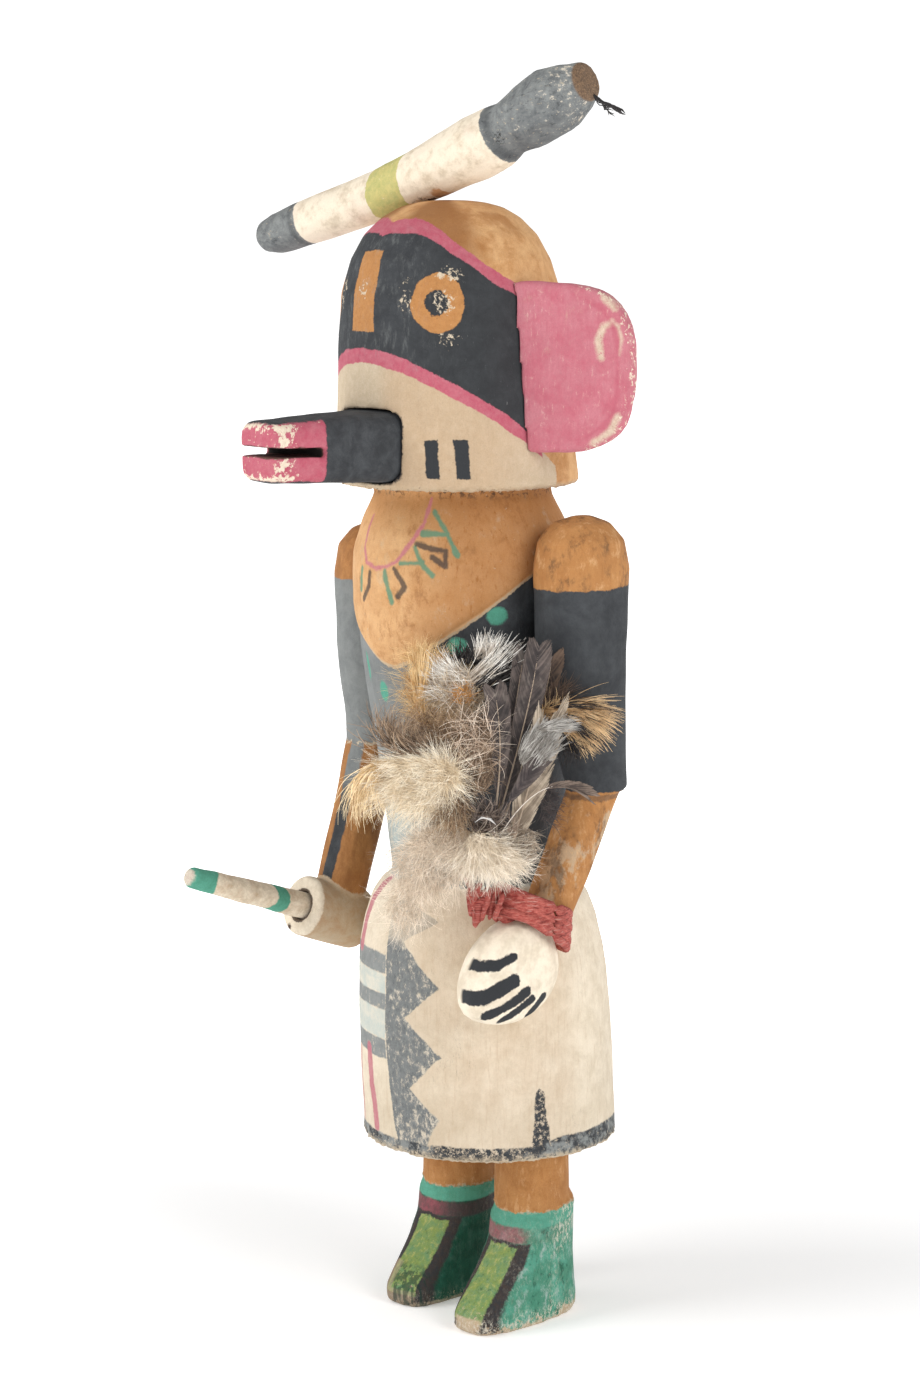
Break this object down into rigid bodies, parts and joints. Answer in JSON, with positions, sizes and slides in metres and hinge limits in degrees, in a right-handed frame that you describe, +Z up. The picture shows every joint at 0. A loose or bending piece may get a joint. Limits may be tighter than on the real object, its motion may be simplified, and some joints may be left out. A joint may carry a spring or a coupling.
{
  "type": "carved wooden kachina doll",
  "caption": "Standing carved and painted wooden doll with a helmet mask, ears, snout, crown bar, kilt, wand and feathers bound at the left wrist.",
  "frame": {"origin": "on the floor under the middle of the overall bounding box", "axes": "+Z up, -Y the way the figure faces, +X the figure's own left"},
  "size_m": [0.1134, 0.0988, 0.2971],
  "materials": {
    "painted_root": "matt ochre, slate and cream paint on carved root, chipped and worn",
    "ear_paint": "matt pink paint worn to cream at the rim",
    "snout_paint": "matt slate paint with a pink muzzle end",
    "bar_paint": "matt cream paint with slate ends and a yellow-green band",
    "arm_paint": "matt slate sleeve, ochre shoulder and forearm, cream hand",
    "wand_paint": "matt cream paint with turquoise tip and band",
    "red_strips": "faded red strips wound and knotted",
    "thread": "dark twisted thread",
    "feathers": "soft body feathers in cream, ochre, grey and dark brown"
  },
  "bodies": {
    "root": {"figure": "painted_root", "left_ear": "ear_paint", "right_ear": "ear_paint", "snout": "snout_paint", "crown_bar": "bar_paint", "thread_wisp": "thread", "left_arm": "arm_paint", "right_arm": "arm_paint", "wand": "wand_paint", "wrist_wrap": "red_strips", "ochre_feather": "feathers", "barred_feather": "feathers", "brown_feather": "feathers", "golden_feather": "feathers", "tall_dark_feather": "feathers", "curled_brown_feather": "feathers", "short_dark_feather": "feathers", "grey_feather": "feathers", "cream_feather": "feathers", "thin_feather": "feathers", "hanging_down_feather": "feathers", "wrist_down_feather": "feathers"}
  },
  "joints": []
}
